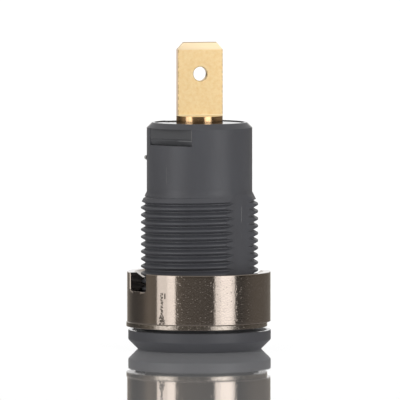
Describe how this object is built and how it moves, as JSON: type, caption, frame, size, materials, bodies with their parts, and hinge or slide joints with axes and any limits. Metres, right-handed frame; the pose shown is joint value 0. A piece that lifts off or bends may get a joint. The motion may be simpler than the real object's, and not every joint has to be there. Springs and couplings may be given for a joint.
{
  "type": "banana socket",
  "caption": "Insulated panel socket for shrouded 4 mm plugs, with a threaded plastic barrel, slotted ring nut, washer and flat rear solder tab.",
  "frame": {"origin": "centre of the front face, on the socket's axis", "axes": "+Z along the axis from the front face to the rear tab; +X square to a flat of the thread, +Y square to a side window"},
  "size_m": [0.0148, 0.0147, 0.0314],
  "materials": {
    "grey_plastic": "moulded grey plastic, finely eroded",
    "insert_plastic": "moulded grey plastic",
    "gold_contact": "satin gold plate on turned brass",
    "washer_metal": "nickel plate, sheared rim",
    "nickel_nut": "bright nickel plate, tumbled"
  },
  "bodies": {
    "socket": {"housing": "grey_plastic", "rear_insert": "insert_plastic", "contact": "gold_contact"},
    "washer": {"washer": "washer_metal"},
    "nut": {"ring_nut": "nickel_nut"}
  },
  "joints": [
    {"name": "nut_travel", "type": "slide", "parent": "socket", "child": "washer", "axis": [0, 0, 1], "range_m": [-0.00034, 0.012]},
    {"name": "nut_turn", "type": "hinge", "parent": "washer", "child": "nut", "pos_m": [0, 0, 0], "axis": [0, 0, 1], "range_deg": [-165, 5760]}
  ],
  "couplings": [
    {"joint": "nut_travel", "follows": "nut_turn", "m_per_rad": 0.00011937}
  ]
}
